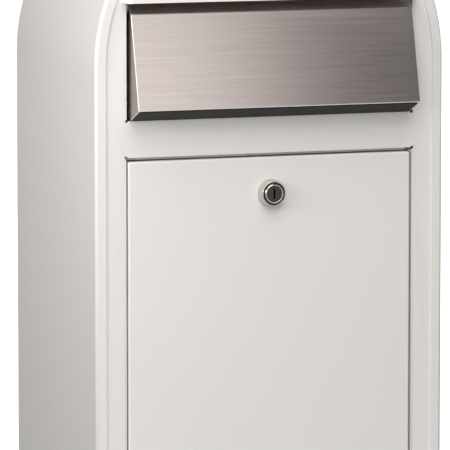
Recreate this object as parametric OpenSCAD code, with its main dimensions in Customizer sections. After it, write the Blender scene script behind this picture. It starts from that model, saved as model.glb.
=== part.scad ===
// Parcel drop box: an arched sheet-steel cabinet with a stainless drop flap under a
// pressed hood and a bottom-hinged door with a cam lock.
// Millimetres. Origin at the centre of the base, front towards -Y, +Z up.

/* [Cabinet] */
// Overall width; the arch is half a circle of this diameter
body_w = 380; // [320:5:480]
// Overall height
body_h = 700; // [560:5:900]
// Depth of the casing from front rim to back
body_d = 240; // [180:5:340]
// Thickness of the casing sheet
casing_t = 1.5; // [1:0.1:2.5]
// Outside radius of the bend between casing and rim
bend_r = 3.2; // [2.6:0.1:6]
// Width of the front rim, seen from the front
rim_w = 11.5; // [8:0.5:16]
// Width of the return at the back
rear_rim_w = 14; // [10:0.5:20]
// Thickness of the base plate
base_t = 2; // [1.5:0.5:4]
// Height of the base plate's upturned flanges
base_flange_h = 25; // [15:1:35]

/* [Front panel] */
// Thickness of the front panel
panel_t = 1.5; // [1:0.1:2.5]
// Strip of panel left at each side of the door opening, from the casing's outside
door_strip_w = 33.5; // [28:0.5:50]
// Strip of panel left at each side of the flap opening, from the casing's outside
flap_strip_w = 34; // [30:0.5:50]
// Height of the bottom of the door opening above the floor
door_sill_z = 42; // [34:1:80]
// Height of the plain band between flap opening and door opening
band_h = 37; // [34:1:80]
// Depth of the folded edge around the door opening
opening_flange_d = 22; // [18:1:26]
// Depth of the folded edge around the flap opening
slot_flange_d = 12; // [8:1:16]
// Radius of the bend relief in each opening corner
relief_r = 1.6; // [1:0.1:3]

/* [Hood] */
// Height of the hood's lower edge above the arch's centre
hood_rise = 62; // [40:1:90]
// Distance from the casing's outside to the hood, all round the arch
hood_margin = 18.5; // [15:0.5:30]
// How far the hood's lower edge stands out
hood_out = 14; // [12.5:0.5:24]
// Thickness of the hood sheet
hood_t = 1.5; // [1:0.1:2]

/* [Flap] */
// Height from the hood's lower edge down to the sill of the flap opening
slot_h = 118.5; // [90:0.5:160]
// How far the flap's lower edge stands out
flap_out = 28; // [22:0.5:40]
// Thickness of the flap sheet
flap_t = 1.2; // [0.8:0.1:2]
// Gap between the flap's cheek and the opening
flap_gap = 2.5; // [1.5:0.1:4]
// Thickness of the weather strip under the flap
strip_t = 0.8; // [0.5:0.1:1]
// Radius of the flap's hinge rod
rod_r = 3; // [2.5:0.25:4]
// Thickness of the bush wall around the rod
bush_t = 1.5; // [1:0.1:2.5]

/* [Door] */
// Thickness of the door sheet
door_t = 1.5; // [1:0.1:2.5]
// Depth of the door's folded edges
door_flange_d = 25; // [22:0.5:32]
// Gap at each side of the door
door_side_gap = 2; // [1.2:0.1:3]
// Gap above the door
door_top_gap = 4.1; // [3:0.1:6]
// Gap below the door
door_bottom_gap = 3; // [2.5:0.1:5]
// Corner radius of the door, seen from the front
door_corner_r = 2.5; // [1:0.5:6]
// Radius of the hinge pins and stop pins
pin_r = 2; // [1.5:0.25:2.5]
// Hinge axis behind the door's face
hinge_back = 4.5; // [4:0.1:6]
// Hinge axis above the door's bottom edge
hinge_up = 8; // [7:0.5:12]
// Distance from the hinge axis to the stop pin
stop_r = 14; // [12:0.5:15]
// How far the door opens, in degrees
door_open_angle = 95; // [80:5:100]

/* [Lock] */
// Lock axis below the top edge of the door opening
lock_drop = 41; // [36:0.5:60]
// Outside radius of the lock collar at the door
collar_r = 14.5; // [13.5:0.1:18]
// How far the collar stands out
collar_h = 9; // [6:0.5:12]
// Radius of the lock's threaded housing
housing_r = 9.5; // [9:0.1:11]
// Radius of the key plug's head
plug_r = 8.4; // [7.5:0.1:8.8]
// Radius of the key plug behind its head
plug_body_r = 6.5; // [6:0.1:7]
// Length of the cam from the lock axis to its tip
cam_l = 50; // [47:1:52]
// Thickness of the cam
cam_t = 2.5; // [2:0.1:4]

/* [Inside] */
// Depth of the letter guard under the flap
guard_d = 75; // [50:1:110]
// Fall of the letter guard from front to back
guard_fall = 18; // [5:1:22]
// Radius of the weld studs
stud_r = 2; // [1.5:0.25:2.5]

/* [Mounting] */
// Distance between wall holes across
wall_dx = 240; // [160:5:260]
// Distance of the upper wall holes below the top of the box
wall_top_gap = 160; // [130:5:300]
// Height of the lower wall holes
wall_z0 = 140; // [80:5:200]
// Radius of the wall holes
wall_hole_r = 4.25; // [3:0.25:6]
// Distance between stand holes across
stand_dx = 200; // [120:5:260]
// Distance between stand holes front to back
stand_dy = 120; // [80:5:140]
// Radius of the stand holes
stand_hole_r = 4.5; // [3:0.25:6]

/* [Hidden] */
$fn = 64;

// Clearances
fit = 0.05;          // radial, between a shaft and its hole
seat = 0.3;          // between pieces that are seated or welded side by side
cut = 1;             // how far a cutter runs past what it cuts

// Planes, measured along Y
front_y = -body_d / 2;
back_y = body_d / 2;
face_y = front_y + casing_t;
panel_back_y = face_y + panel_t;
rear_t = casing_t;
rear_y = back_y - casing_t - rear_t;

// The arch
arch_r = body_w / 2;
spring_z = body_h - arch_r;
inner_r = arch_r - casing_t - seat;
plate_r = arch_r - bend_r - seat;

// Distance between wall holes up the back
wall_dz = body_h - wall_top_gap - wall_z0;

// Openings
hood_z = spring_z + hood_rise;
hood_r = arch_r - hood_margin;
slot_z = hood_z - slot_h;
slot_w = body_w - 2 * flap_strip_w;
door_top_z = slot_z - band_h;
opening_w = body_w - 2 * door_strip_w;
opening_x = opening_w / 2;

// Flap: places out from the panel's face, and heights
flap_w = slot_w - 2 * flap_gap;
rod_back = 8;
rod_z = hood_z - 4;
flap_bend = [6.2, hood_z - 11.5];
flap_nose = [flap_out, slot_z + 12];
flap_heel = [2.5, slot_z + 1];
heel_lip_h = 8;
flap_tuck = 4;
flap_tuck_z = slot_z + 3.5;
bush_r = rod_r + fit + bush_t;
ear_r = bush_r + 3.4;
return_end = [-0.5, hood_z - 2];
flap_lip = [-1.5, hood_z + 0.5];

// Brackets that carry the rod
ear_t = 2;
ear_x = slot_w / 2 + panel_t + seat;
bracket_ear_r = rod_back - panel_t;
bracket_w = 13;
bracket_z0 = rod_z - 12;
bracket_z1 = rod_z + 13;
bracket_stud_x = ear_x + ear_t + 5.5;
bracket_stud_z = [rod_z - 7.5, rod_z + 7.5];
clip_t = 1.2;
clip_r = bracket_ear_r - ear_t - 0.1;
rod_end_x = ear_x + ear_t + clip_t + 1;

// Door
door_w = opening_w - 2 * door_side_gap;
door_x = door_w / 2;
door_z0 = door_sill_z + door_bottom_gap;
door_z1 = door_top_z - door_top_gap;
hinge_y = face_y + hinge_back;
hinge_z = door_z0 + hinge_up;
pin_head_r = hinge_back - panel_t - 0.1;
corner_clear = 2;
stiffener_x = door_w * 0.29;
stiffener_d = 20;
stiffener_w = 22;
stiffener_foot = 12;
stiffener_t = 1.2;
buffer_z = door_z1 - 40;
buffer_h = 14;

// Lock
lock_z = door_top_z - lock_drop;
head_r = housing_r + 0.5;
head_out = collar_h + 1;
ring_r = collar_r - 2.75;
collar_web = 2;
flat_w = housing_r * 1.7;
housing_back = 24;
lock_washer_t = 1.2;
lock_nut_t = 4.5;
cam_d = opening_flange_d + 5;
tail_w = plug_body_r * 1.3;
plug_head_t = 4;
cam_w = 16;

// Guard
guard_t = 1.2;
guard_z = slot_z - 6.5;
guard_flange_h = 20;
guard_lip_h = 12;
guard_x = slot_w / 2 - 6;
guard_stud_z = guard_z - 11;
guard_stud_x = [-guard_x * 0.85, -guard_x * 0.3, guard_x * 0.3, guard_x * 0.85];

// Keeper
keeper_t = 2;
keeper_w = 60;
keeper_h = 13;
keeper_d = cam_d - 0.5;
keeper_screw_x = 20;
keeper_screw_d = 12;
keeper_z = door_top_z + panel_t;

stud_l = 9;
nut_t = 3.2;
nut_af = 7;

// ---------------------------------------------------------------- helpers

// Extrudes an X-Z outline from depth y0 to y1
module along_y(y0, y1) {
    translate([0, y1, 0]) rotate([90, 0, 0]) linear_extrude(y1 - y0) children();
}

// Extrudes a Y-Z outline from x0 to x1
module along_x(x0, x1) {
    translate([x0, 0, 0]) rotate([90, 0, 90]) linear_extrude(x1 - x0) children();
}

// A straight cylinder along X
module rod_x(x0, x1, r) {
    translate([x0, 0, 0]) rotate([0, 90, 0]) cylinder(h = x1 - x0, r = r);
}

// A cylinder or cone along Y, from depth y0 to y1
module rod_y(y0, y1, r0, r1 = undef) {
    translate([0, y0, 0]) rotate([-90, 0, 0]) cylinder(h = y1 - y0, r1 = r0, r2 = is_undef(r1) ? r0 : r1);
}

// Both sides of the box
module both_sides() {
    children();
    mirror([1, 0, 0]) children();
}

// Arch outline of radius r, standing on z = 0
module arch(r) {
    translate([0, spring_z]) circle(r);
    translate([-r, 0]) square([2 * r, spring_z]);
}

// Rectangle between two corners
module area(x0, z0, x1, z1) {
    translate([x0, z0]) square([x1 - x0, z1 - z0]);
}

// Rectangle with round corners
module rounded_area(x0, z0, x1, z1, r) {
    area(x0 + r, z0, x1 - r, z1);
    area(x0, z0 + r, x1, z1 - r);
    for (x = [x0 + r, x1 - r], z = [z0 + r, z1 - r]) translate([x, z]) circle(r);
}

// Y-Z outline point, given how far it stands out of the face, and its height
function out(p) = [face_y - p[0], p[1]];

// Unit normal on the left of the line from a to b
function left_of(a, b) = [a[1] - b[1], b[0] - a[0]] / norm(b - a);

// Corner i of a folded sheet's other face: its outside runs along p, its inside is t to the left
function inside(p, i, t) =
    let (k0 = max(i, 1), k1 = min(i, len(p) - 2), n0 = left_of(p[k0 - 1], p[k0]), n1 = left_of(p[k1], p[k1 + 1]))
    p[i] + (n0 + n1) * t / (1 + n0 * n1);

// Cross-section of a sheet of thickness t, folded along the points p
module folded(p, t) {
    polygon(concat(p, [for (i = [len(p) - 1:-1:0]) inside(p, i, t)]));
}

// ---------------------------------------------------------------- cabinet

// Cross-section of the casing at radius r from its middle: rim, bend, wall, bend, return
module casing_section() {
    wall_y0 = front_y + bend_r;
    wall_y1 = back_y - bend_r;
    translate([arch_r - casing_t, wall_y0]) square([casing_t, wall_y1 - wall_y0]);
    translate([arch_r - rim_w, front_y]) square([rim_w - bend_r, casing_t]);
    translate([arch_r - rear_rim_w, back_y - casing_t]) square([rear_rim_w - bend_r, casing_t]);
    for (end = [0, 1]) translate([arch_r - bend_r, end == 0 ? wall_y0 : wall_y1])
        intersection() {
            difference() {
                circle(bend_r);
                circle(bend_r - casing_t);
            }
            translate([0, end == 0 ? -bend_r : 0]) square(bend_r);
        }
}

module casing_shell() {
    color("whitesmoke") {
        translate([0, 0, spring_z]) rotate([-90, 0, 0]) rotate([0, 0, 180])
            rotate_extrude(angle = 180) casing_section();
        both_sides() linear_extrude(spring_z) casing_section();
    }
}

// Outline of the hood at radius r, from height z0 up
module hood_outline(r, z0) {
    intersection() {
        translate([0, spring_z]) circle(r);
        area(-arch_r, z0, arch_r, body_h);
    }
}

module front_panel() {
    hole_r = pin_r + fit;
    flange_z0 = door_sill_z + corner_clear;
    flange_z1 = door_top_z - corner_clear;
    tab_y = face_y + door_flange_d + seat + 1.7;
    color("whitesmoke") {
        along_y(face_y, panel_back_y) difference() {
            arch(plate_r);
            hood_outline(hood_r - hood_t, hood_z);
            area(-slot_w / 2, slot_z, slot_w / 2, hood_z + cut);
            area(-opening_x, door_sill_z, opening_x, door_top_z);
            for (x = [-1, 1], z = [door_sill_z, door_top_z])
                translate([x * opening_x, z]) circle(relief_r);
            for (x = [-1, 1]) translate([x * slot_w / 2, slot_z]) circle(relief_r);
        }
        // folded edges of the door opening, with the hinge holes and the stop tab
        both_sides() {
            difference() {
                along_x(opening_x, opening_x + panel_t)
                    area(panel_back_y, flange_z0, face_y + opening_flange_d, flange_z1);
                translate([0, hinge_y, hinge_z]) rod_x(opening_x - cut, opening_x + panel_t + cut, hole_r);
                translate([0, hinge_y, hinge_z + stop_r])
                    rod_x(opening_x - cut, opening_x + panel_t + cut, hole_r);
            }
            along_x(opening_x, opening_x + panel_t)
                area(face_y + opening_flange_d, buffer_z, tab_y + panel_t, buffer_z + buffer_h);
            translate([door_x - 8, tab_y, buffer_z])
                cube([opening_x - door_x + 8 + cut / 2, panel_t, buffer_h]);
        }
        difference() {
            along_x(corner_clear - opening_x, opening_x - corner_clear)
                area(panel_back_y, door_top_z, face_y + opening_flange_d, door_top_z + panel_t);
            for (x = [-keeper_screw_x, keeper_screw_x])
                translate([x, face_y + keeper_screw_d, door_top_z - cut])
                    cylinder(h = panel_t + 2 * cut, r = stud_r + fit);
        }
        along_x(corner_clear - opening_x, opening_x - corner_clear)
            area(panel_back_y, door_sill_z - panel_t, face_y + opening_flange_d, door_sill_z);
        // folded edges of the flap opening
        both_sides() along_x(slot_w / 2, slot_w / 2 + panel_t)
            area(panel_back_y, slot_z + corner_clear, face_y + slot_flange_d, rod_z - 14);
        along_x(corner_clear - slot_w / 2, slot_w / 2 - corner_clear)
            area(panel_back_y, slot_z - panel_t, face_y + slot_flange_d, slot_z);
    }
}

// Solid wedge from height z0 up: radius r, standing out by rise at the hood's lower edge
module hood_wedge(r, rise, z0) {
    top_z = spring_z + r;
    intersection() {
        along_y(face_y - rise - cut, face_y) hood_outline(r, z0);
        along_x(-arch_r, arch_r) polygon([
            [face_y, hood_z - cut],
            [face_y - rise - rise * cut / (top_z - hood_z), hood_z - cut],
            [face_y, top_z]
        ]);
    }
}

module flap_hood() {
    color("white") difference() {
        hood_wedge(hood_r, hood_out, hood_z);
        hood_wedge(hood_r - hood_t, hood_out - hood_t, hood_z - cut / 2);
    }
}

module rear_panel() {
    color("whitesmoke") along_y(rear_y, rear_y + rear_t) difference() {
        arch(plate_r);
        wall_holes();
    }
}

module wall_holes() {
    for (x = [-wall_dx / 2, wall_dx / 2], z = [wall_z0, wall_z0 + wall_dz])
        translate([x, z]) circle(wall_hole_r);
}

module wall_rails() {
    rail_h = 40;
    rail_t = 2;
    color("silver") along_y(rear_y - rail_t, rear_y) difference() {
        for (z = [wall_z0, wall_z0 + wall_dz])
            area(-wall_dx / 2 - 22, z - rail_h / 2, wall_dx / 2 + 22, z + rail_h / 2);
        wall_holes();
    }
}

module base_plate() {
    y0 = panel_back_y;
    y1 = rear_y;
    x = inner_r;
    color("whitesmoke") difference() {
        union() {
            translate([-x, y0, 0]) cube([2 * x, y1 - y0, base_t]);
            both_sides() translate([x - base_t, y0, 0]) cube([base_t, y1 - y0, base_flange_h]);
            for (y = [y0, y1 - base_t]) translate([-x, y, 0]) cube([2 * x, base_t, base_flange_h]);
        }
        for (hx = [-stand_dx / 2, stand_dx / 2], hy = [-stand_dy / 2, stand_dy / 2])
            translate([hx, hy, -cut]) cylinder(h = base_t + 2 * cut, r = stand_hole_r);
        // drain holes
        for (hx = [-x + 14, x - 14], hy = [y0 + 14, y1 - 14])
            translate([hx, hy, -cut]) cylinder(h = base_t + 2 * cut, r = 2.5);
    }
}

// ---------------------------------------------------------------- flap hinge

module flap_bracket() {
    y0 = panel_back_y;
    color("silver") difference() {
        union() {
            along_x(ear_x, ear_x + ear_t) {
                area(y0, bracket_z0, y0 + ear_t, bracket_z1);
                translate([face_y + rod_back, rod_z]) circle(bracket_ear_r);
                area(y0, rod_z - bracket_ear_r, face_y + rod_back, rod_z + bracket_ear_r);
            }
            along_y(y0, y0 + ear_t) intersection() {
                area(ear_x, bracket_z0, ear_x + ear_t + bracket_w, bracket_z1);
                arch(inner_r - 2 * seat);
            }
        }
        translate([0, face_y + rod_back, rod_z]) rod_x(ear_x - cut, ear_x + ear_t + cut, rod_r + fit);
        for (z = bracket_stud_z) translate([bracket_stud_x, 0, z])
            rod_y(y0 - cut, y0 + ear_t + cut, stud_r + fit);
    }
}

module flap_bracket_left() {
    mirror([1, 0, 0]) flap_bracket();
}

module flap_bracket_right() {
    flap_bracket();
}

module hinge_rod() {
    color("silver") translate([0, face_y + rod_back, rod_z]) rod_x(-rod_end_x, rod_end_x, rod_r);
}

module rod_clips() {
    x0 = ear_x + ear_t + fit;
    color("dimgray") both_sides() translate([0, face_y + rod_back, rod_z]) difference() {
        rod_x(x0, x0 + clip_t, clip_r);
        rod_x(x0 - cut, x0 + clip_t + cut, rod_r + fit);
    }
}

module flap_buffers() {
    x0 = flap_w / 2 - flap_t - 2;
    color("black") both_sides()
        translate([x0, face_y + flap_tuck + seat, slot_z + 20]) cube([slot_w / 2 - x0, 6, 12]);
}

// ---------------------------------------------------------------- inside

module letter_guard() {
    y0 = panel_back_y;
    y1 = face_y + guard_d;
    z1 = guard_z - guard_fall;
    color("gainsboro") difference() {
        along_x(-guard_x, guard_x) folded([
            [y1, z1 - guard_lip_h], [y1, z1], [y0, guard_z], [y0, guard_z - guard_flange_h]
        ], guard_t);
        for (x = guard_stud_x) translate([x, 0, guard_stud_z])
            rod_y(y0 - cut, y0 + guard_t + cut, stud_r + fit);
    }
}

// Calls its child at every weld stud; $seat_t is the thickness of the piece it holds
module at_studs() {
    both_sides() for (z = bracket_stud_z) {
        $seat_t = ear_t;
        translate([bracket_stud_x, panel_back_y, z]) children();
    }
    for (x = guard_stud_x) {
        $seat_t = guard_t;
        translate([x, panel_back_y, guard_stud_z]) children();
    }
}

module weld_studs() {
    color("silver") at_studs() rod_y(0, stud_l, stud_r);
}

module stud_nuts() {
    color("gray") at_studs() translate([0, $seat_t, 0]) difference() {
        rotate([-90, 0, 0]) cylinder(h = nut_t, r = nut_af / sqrt(3), $fn = 6);
        rod_y(-cut, nut_t + cut, stud_r + fit);
    }
}

module lock_keeper() {
    d1 = face_y + keeper_d;
    color("silver") difference() {
        along_x(-keeper_w / 2, keeper_w / 2) {
            area(panel_back_y + seat, keeper_z, d1, keeper_z + keeper_t);
            area(d1 - keeper_t, keeper_z, d1, keeper_z + keeper_h);
        }
        for (x = [-keeper_screw_x, keeper_screw_x])
            translate([x, face_y + keeper_screw_d, keeper_z - cut])
                cylinder(h = keeper_t + 2 * cut, r = stud_r + fit);
    }
}

module keeper_screws() {
    head_t = 1.6;
    color("silver") for (x = [-keeper_screw_x, keeper_screw_x])
        translate([x, face_y + keeper_screw_d, door_top_z - head_t]) {
            cylinder(h = head_t, r = stud_r * 1.9);
            cylinder(h = head_t + panel_t + keeper_t + nut_t + 1, r = stud_r);
        }
}

module keeper_nuts() {
    color("gray") for (x = [-keeper_screw_x, keeper_screw_x])
        translate([x, face_y + keeper_screw_d, keeper_z + keeper_t]) difference() {
            cylinder(h = nut_t, r = nut_af / sqrt(3), $fn = 6);
            translate([0, 0, -cut]) cylinder(h = nut_t + 2 * cut, r = stud_r + fit);
        }
}

// ---------------------------------------------------------------- door hinge

module pin(z) {
    head_t = 1.5;
    both_sides() translate([0, hinge_y, z]) {
        rod_x(door_x - door_t - 2, opening_x + panel_t + head_t, pin_r);
        rod_x(opening_x + panel_t, opening_x + panel_t + head_t, pin_head_r);
    }
}

module door_hinge_pins() {
    color("silver") pin(hinge_z);
}

module door_stop_pins() {
    color("silver") pin(hinge_z + stop_r);
}

module door_washers() {
    color("ivory") both_sides() translate([0, hinge_y, hinge_z]) difference() {
        rod_x(door_x + seat / 2, opening_x - seat / 2, pin_r + 2);
        rod_x(door_x - cut, opening_x + cut, pin_r + fit);
    }
}

module door_buffers() {
    color("black") both_sides()
        translate([door_x - 7.5, face_y + door_flange_d + seat, buffer_z + 2])
            cube([7.5, 1.7, buffer_h - 4]);
}

// ---------------------------------------------------------------- flap

// Outline of the flap's cheek: from the bend over the nose and heel, back inside the opening
module cheek_outline() {
    axis = [face_y + rod_back, rod_z];
    polygon([
        out(flap_bend), out(flap_nose), out(flap_heel),
        [face_y + flap_tuck, flap_tuck_z],
        [face_y + flap_tuck, rod_z - ear_r - 2],
        [axis[0] + ear_r * 0.7, axis[1] - ear_r * 0.6],
        axis, out(flap_lip), out(return_end)
    ]);
    translate(axis) circle(ear_r);
}

module flap_plate() {
    axis = [face_y + rod_back, rod_z];
    color("darkgray") difference() {
        union() {
            along_x(-flap_w / 2, flap_w / 2) folded([
                out(flap_lip), out(return_end), out(flap_bend),
                out(flap_nose), out(flap_heel), out(flap_heel + [0, heel_lip_h])
            ], flap_t);
            both_sides() along_x(flap_w / 2 - flap_t, flap_w / 2) cheek_outline();
        }
        both_sides() translate([0, axis[0], axis[1]]) rod_x(flap_w / 2 - flap_t - cut, flap_w / 2 + cut, bush_r);
    }
}

module flap_bushes() {
    flange_t = 1;
    x1 = flap_w / 2 + flange_t;
    color("ivory") both_sides() translate([0, face_y + rod_back, rod_z]) difference() {
        union() {
            rod_x(flap_w / 2 - flap_t - 1.5, x1, bush_r - fit / 2);
            rod_x(flap_w / 2, x1, bush_r + 1.5);
        }
        rod_x(flap_w / 2 - flap_t - 2.5, x1 + cut, rod_r + fit);
    }
}

// Rubber strip bonded under the flap's lower fold, from behind the nose to the heel
module flap_strip() {
    setback = 2.5;
    run = (out(flap_heel) - out(flap_nose)) / norm(flap_heel - flap_nose);
    down = -left_of(out(flap_nose), out(flap_heel));
    a = out(flap_nose) + run * setback + down * fit;
    b = out(flap_heel) - run * fit + down * fit;
    color("black") along_x(-flap_w / 2 + setback, flap_w / 2 - setback)
        polygon([a, b, b + down * strip_t, a + down * strip_t]);
}

module flap_stiffener() {
    // a shallow channel welded across the inside of the flap's face
    t = 1;
    deep = 7;
    face_dir = (out(flap_nose) - out(flap_bend)) / norm(out(flap_nose) - out(flap_bend));
    inward = [-face_dir[1], face_dir[0]];
    middle = (out(flap_nose) + out(flap_bend)) / 2 + inward * (flap_t + fit);
    a = middle - face_dir * 22;
    b = middle + face_dir * 22;
    c = b + inward * deep;
    d = a + inward * deep;
    color("silver") along_x(-flap_w / 2 + flap_t + 4, flap_w / 2 - flap_t - 4) difference() {
        polygon([a - face_dir * 9, b + face_dir * 9, b + face_dir * 9 + inward * t,
            b + inward * t, c, d, a + inward * t, a - face_dir * 9 + inward * t]);
        polygon([a + face_dir * t - inward * cut, b - face_dir * t - inward * cut,
            c - face_dir * t - inward * t, d + face_dir * t - inward * t]);
    }
}

// ---------------------------------------------------------------- door

// Slot that the stop pin runs in, as a Y-Z outline centred on the hinge
module stop_slot() {
    half_w = pin_r + 0.15;
    side_w = half_w - 0.02;
    rotate([0, 0, 90 - door_open_angle]) difference() {
        intersection() {
            circle(stop_r + side_w);
            sector(door_open_angle, 2 * stop_r);
        }
        circle(stop_r - side_w);
    }
    for (a = [90, 90 - door_open_angle]) rotate([0, 0, a]) translate([stop_r, 0]) circle(half_w);
}

// Sector of a circle from 0 to an angle, drawn larger than radius r
module sector(angle, r) {
    polygon([[0, 0], [r, 0], [r, r], [r * cos(angle), r * sin(angle)] * 2]);
}

module door_panel() {
    back = face_y + door_flange_d;
    color("whitesmoke") {
        difference() {
            along_y(face_y, face_y + door_t) rounded_area(-door_x, door_z0, door_x, door_z1, door_corner_r);
            translate([0, 0, lock_z]) along_y(face_y - cut, face_y + door_t + cut) intersection() {
                circle(housing_r + fit);
                square([flat_w + 2 * fit, 4 * housing_r], center = true);
            }
        }
        both_sides() difference() {
            along_x(door_x - door_t, door_x)
                area(face_y + door_t, door_z0 + corner_clear, back, door_z1 - corner_clear);
            translate([0, hinge_y, hinge_z]) rod_x(door_x - door_t - cut, door_x + cut, pin_r + fit);
            translate([0, hinge_y, hinge_z]) along_x(door_x - door_t - cut, door_x + cut) stop_slot();
        }
        for (z = [door_z0, door_z1 - door_t]) along_x(door_corner_r + 1 - door_x, door_x - door_corner_r - 1)
            area(face_y + door_t, z, back, z + door_t);
    }
}

// Hat-section channel welded up the inside of the door
module door_stiffener() {
    y0 = face_y + door_t;
    half = stiffener_w / 2;
    t = stiffener_t;
    z0 = door_z0 + 28;
    z1 = door_z1 - 12;
    color("gainsboro") translate([stiffener_x, 0, z0]) linear_extrude(z1 - z0) difference() {
        union() {
            translate([-half - stiffener_foot, y0]) square([stiffener_w + 2 * stiffener_foot, t]);
            translate([-half, y0]) square([stiffener_w, stiffener_d]);
        }
        translate([-half + t, y0 - cut]) square([stiffener_w - 2 * t, stiffener_d - t + cut]);
    }
}

module door_stiffener_left() {
    mirror([1, 0, 0]) door_stiffener();
}

module door_stiffener_right() {
    door_stiffener();
}

// ---------------------------------------------------------------- lock

module lock_collar() {
    color("silver") translate([0, face_y, lock_z]) difference() {
        rod_y(-collar_h, 0, collar_r - 1.9, collar_r);
        rod_y(-collar_h - cut, -collar_web, ring_r);
        rod_y(-collar_web - cut, cut, housing_r + fit);
    }
}

module lock_gasket() {
    color("black") translate([0, face_y, lock_z]) difference() {
        rod_y(-collar_h + 1.5, -collar_web, ring_r - fit);
        rod_y(-collar_h - cut, 0, head_r + fit);
    }
}

module lock_housing() {
    color("silver") translate([0, face_y, lock_z]) difference() {
        union() {
            rod_y(-head_out + 0.6, -collar_web, head_r);
            rod_y(-head_out, -head_out + 0.6, head_r - 0.6, head_r);
            intersection() {
                rod_y(-collar_web, housing_back, housing_r);
                translate([-flat_w / 2, -collar_web, -housing_r])
                    cube([flat_w, housing_back + collar_web, 2 * housing_r]);
            }
        }
        rod_y(-head_out - cut, plug_head_t - head_out, plug_r + fit);
        rod_y(-head_out, housing_back + cut, plug_body_r + fit);
    }
}

module lock_washer() {
    color("silver") translate([0, face_y + door_t, lock_z]) difference() {
        rod_y(0, lock_washer_t, housing_r + 4);
        rod_y(-cut, lock_washer_t + cut, housing_r + fit);
    }
}

module lock_nut() {
    color("silver") translate([0, face_y + door_t + lock_washer_t, lock_z]) difference() {
        rotate([-90, 0, 0]) cylinder(h = lock_nut_t, r = (housing_r + 3) * 2 / sqrt(3), $fn = 6);
        rod_y(-cut, lock_nut_t + cut, housing_r + fit);
    }
}

module lock_plug() {
    key_w = 2;
    key_h = 10;
    key_deep = 18;
    color("dimgray") translate([0, face_y, lock_z]) difference() {
        union() {
            rod_y(-head_out + 0.5, plug_head_t - head_out - fit, plug_r);
            rod_y(-head_out + 0.5, housing_back + 0.3, plug_body_r);
            translate([-tail_w / 2, housing_back, -tail_w / 2])
                cube([tail_w, cam_d + cam_t - housing_back - seat / 2, tail_w]);
        }
        translate([-key_w / 2, -head_out - cut, -key_h / 2]) cube([key_w, key_deep, key_h]);
        rod_y(cam_d - 1.5, cam_d + cam_t + cut, 2.5 + fit);
    }
}

module tail_hole(h) {
    w = tail_w + 2 * fit;
    translate([-w / 2, -cut, -w / 2]) cube([w, h + 2 * cut, w]);
}

module plug_spacer() {
    y0 = housing_back + 0.3;
    color("silver") translate([0, face_y + y0, lock_z]) difference() {
        rod_y(0, cam_d - y0, housing_r - 0.5);
        tail_hole(cam_d - y0);
    }
}

module lock_cam() {
    tip_r = cam_w / 2;
    color("silver") translate([0, face_y, lock_z]) difference() {
        along_y(cam_d, cam_d + cam_t) {
            circle(housing_r - 0.5);
            translate([0, -tip_r]) square([cam_l - tip_r, cam_w]);
            translate([cam_l - tip_r, 0]) circle(tip_r);
        }
        translate([0, cam_d, 0]) tail_hole(cam_t);
    }
}

module cam_screw() {
    head_t = 3;
    color("gray") translate([0, face_y + cam_d, lock_z]) {
        rod_y(-1.4, cam_t, 2.5);
        rod_y(cam_t, cam_t + head_t, 6.5);
    }
}

// ---------------------------------------------------------------- assembly

casing_shell();
front_panel();
flap_hood();
rear_panel();
base_plate();
wall_rails();
flap_bracket_left();
flap_bracket_right();
hinge_rod();
rod_clips();
flap_buffers();
letter_guard();
weld_studs();
stud_nuts();
lock_keeper();
keeper_screws();
keeper_nuts();
door_hinge_pins();
door_stop_pins();
door_washers();
door_buffers();
flap_plate();
flap_bushes();
flap_stiffener();
flap_strip();
door_panel();
door_stiffener_left();
door_stiffener_right();
lock_collar();
lock_gasket();
lock_housing();
lock_washer();
lock_nut();
lock_plug();
plug_spacer();
lock_cam();
cam_screw();
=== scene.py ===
import math

import bmesh
import bpy
from bpy.props import FloatProperty, FloatVectorProperty, PointerProperty
from bpy.types import Operator, Panel, PropertyGroup
from mathutils import Matrix, Vector


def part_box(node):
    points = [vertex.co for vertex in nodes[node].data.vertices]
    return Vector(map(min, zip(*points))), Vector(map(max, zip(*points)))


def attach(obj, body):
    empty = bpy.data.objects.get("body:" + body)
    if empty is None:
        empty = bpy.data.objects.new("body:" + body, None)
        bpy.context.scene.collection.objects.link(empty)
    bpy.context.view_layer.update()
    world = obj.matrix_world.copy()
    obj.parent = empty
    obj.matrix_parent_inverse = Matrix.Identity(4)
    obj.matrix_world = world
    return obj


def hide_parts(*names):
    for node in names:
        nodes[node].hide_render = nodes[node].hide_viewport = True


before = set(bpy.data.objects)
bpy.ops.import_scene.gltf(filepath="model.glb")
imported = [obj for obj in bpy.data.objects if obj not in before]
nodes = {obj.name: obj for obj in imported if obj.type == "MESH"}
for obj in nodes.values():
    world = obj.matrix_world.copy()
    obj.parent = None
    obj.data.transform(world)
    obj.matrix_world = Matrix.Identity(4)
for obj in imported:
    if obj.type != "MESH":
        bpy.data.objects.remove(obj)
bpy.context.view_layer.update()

bl_info = {
    "name": "Parcel drop box",
    "version": (1, 0, 0),
    "blender": (4, 5, 0),
    "location": "3D View > Sidebar > Drop Box",
    "description": "Builds the looks of an arched sheet-steel parcel drop box around its packed parts",
    "category": "Object",
}

MM = 0.001

# ---------------------------------------------------------------- places taken from the frame


def middle(node):
    """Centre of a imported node's box."""
    low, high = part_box(node)
    return (low + high) / 2


casing_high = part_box("casing_shell")[1]
panel_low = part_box("front_panel")[0]
hood_low, hood_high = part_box("flap_hood")
flap_low, flap_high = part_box("flap_plate")
door_low, door_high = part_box("door_panel")

FACE_Y = panel_low.y
ARCH_RADIUS = casing_high.x
ARCH_Z = casing_high.z - ARCH_RADIUS
ROD = middle("hinge_rod")
DOOR_PIN = middle("door_hinge_pins")
STOP_PIN = middle("door_stop_pins")
LOCK = middle("lock_collar")

# ---------------------------------------------------------------- fixed measures

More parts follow.
